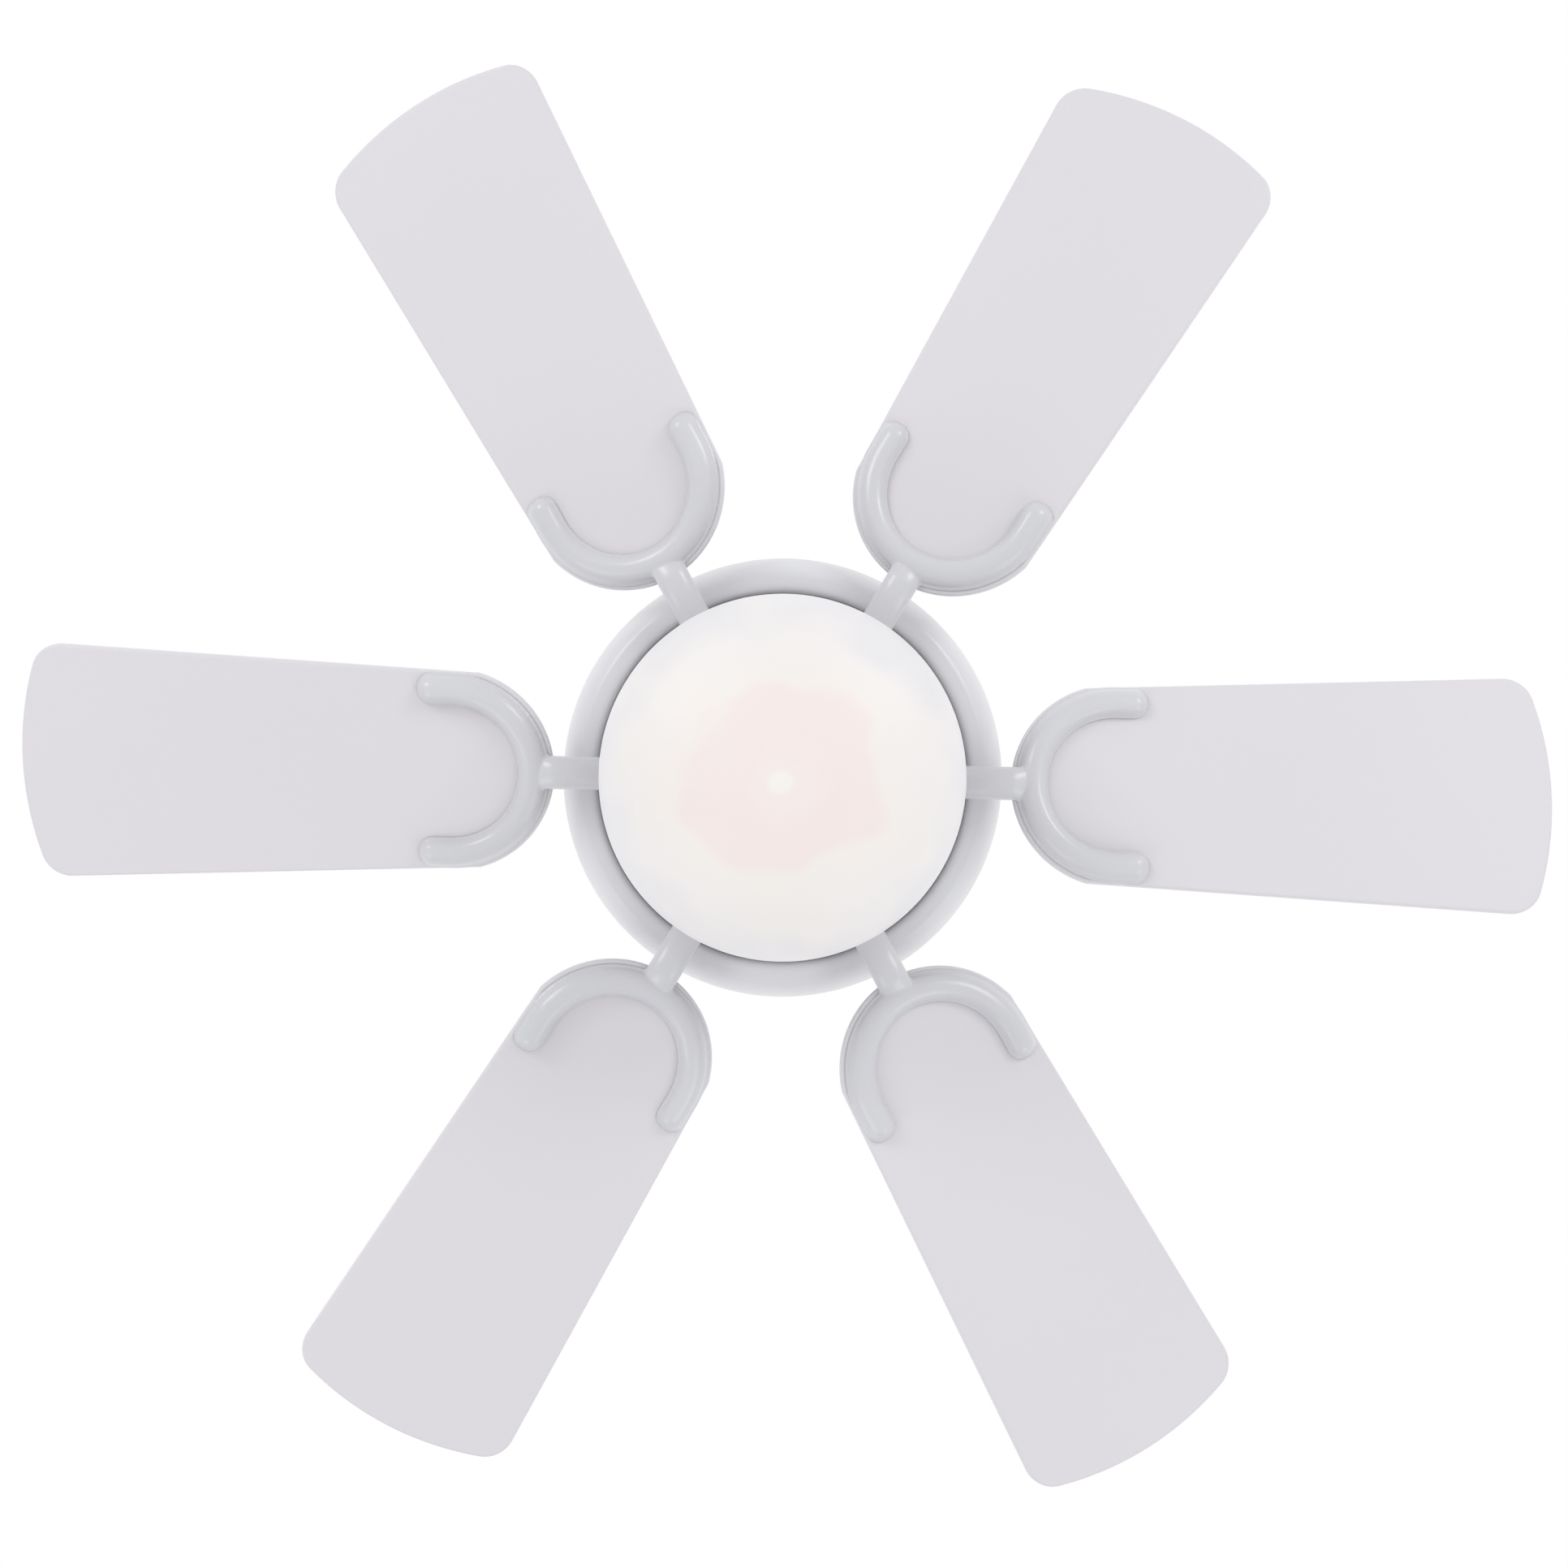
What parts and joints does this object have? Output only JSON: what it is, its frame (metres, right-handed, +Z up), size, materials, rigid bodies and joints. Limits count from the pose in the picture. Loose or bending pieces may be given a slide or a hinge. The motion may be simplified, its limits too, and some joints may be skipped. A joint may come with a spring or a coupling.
{
  "type": "ceiling fan with light",
  "caption": "White ceiling fan with flat paddle blades on C-shaped irons, a round motor housing, a short downrod and canopy, and an opal glass bowl light under the hub.",
  "frame": {"origin": "middle of the hanger bracket's top face, in the ceiling plane", "axes": "+Z up along the rotor's axis, out of the mounting face; +X along the bracket's strap and the first blade's direction within 1.4 degrees"},
  "size_m": [0.7618, 0.702, 0.3525],
  "materials": {
    "white_paint": "satin white powder coat",
    "blade_foil": "satin white foil on pressed board",
    "opal_glass": "opal, fire polished",
    "bulb_glass": "soft white coated inside",
    "zinc_steel": "zinc plated",
    "bright_steel": "ground",
    "cast_aluminium": "die cast",
    "laminations": "stacked sheet, oiled",
    "copper_wire": "enamelled copper wire, varnished",
    "black_plastic": "moulded",
    "ivory_plastic": "moulded",
    "nylon": "moulded nylon",
    "porcelain": "glazed",
    "lamp_cap_brass": "bright"
  },
  "bodies": {
    "ceiling_mount": {"hanger_bracket": "zinc_steel", "canopy": "white_paint", "canopy_trim_ring": "white_paint", "canopy_screw_1": "white_paint", "canopy_screw_2": "white_paint"},
    "hanging_frame": {"hanger_ball": "nylon", "downrod": "white_paint", "ball_pin": "bright_steel", "motor_coupler": "zinc_steel", "set_screw_1": "bright_steel", "set_screw_2": "bright_steel", "clevis_pin": "bright_steel", "cotter_pin": "bright_steel", "coupling_cover": "white_paint", "motor_shaft": "bright_steel", "stator_core": "laminations", "stator_windings": "copper_wire", "bearing_upper": "bright_steel", "bearing_lower": "bright_steel", "housing_top": "white_paint", "housing_body": "white_paint", "housing_screw_1": "white_paint", "housing_screw_2": "white_paint", "housing_screw_3": "white_paint", "switch_plate": "zinc_steel", "switch_housing": "white_paint", "switch_housing_screw_1": "white_paint", "switch_housing_screw_2": "white_paint", "switch_housing_screw_3": "white_paint", "shaft_lock_nut": "zinc_steel", "run_capacitor": "black_plastic", "reversing_switch": "black_plastic", "threaded_nipple": "zinc_steel", "nipple_nut": "zinc_steel", "light_fitter": "white_paint", "lamp_holder": "porcelain", "bulb_base": "lamp_cap_brass", "bulb_globe": "bulb_glass"},
    "rotor": {"rotor_upper_bell": "cast_aluminium", "rotor_lower_bell": "cast_aluminium", "rotor_ring": "laminations", "blade_iron_1": "white_paint", "blade_iron_2": "white_paint", "blade_iron_3": "white_paint", "blade_iron_4": "white_paint", "blade_iron_5": "white_paint", "blade_iron_6": "white_paint", "blade_1": "blade_foil", "blade_2": "blade_foil", "blade_3": "blade_foil", "blade_4": "blade_foil", "blade_5": "blade_foil", "blade_6": "blade_foil"},
    "reversing_slider": {"reversing_slider": "ivory_plastic"},
    "glass_shade": {"glass_shade": "opal_glass"}
  },
  "joints": [
    {"name": "downrod_swing", "type": "hinge", "parent": "ceiling_mount", "child": "hanging_frame", "pos_m": [0, 0, -0.035], "axis": [1, 0, 0], "range_deg": [-15, 15]},
    {"name": "rotor_spin", "type": "hinge", "parent": "hanging_frame", "child": "rotor", "pos_m": [0, 0, -0.21653], "axis": [0, 0, 1], "continuous": true},
    {"name": "reversing_slide", "type": "slide", "parent": "hanging_frame", "child": "reversing_slider", "axis": [1, 0, 0], "range_m": [0, 0.005]},
    {"name": "glass_twist", "type": "hinge", "parent": "hanging_frame", "child": "glass_shade", "pos_m": [0, 0, -0.26953], "axis": [0, 0, 1], "range_deg": [0, 25]}
  ]
}
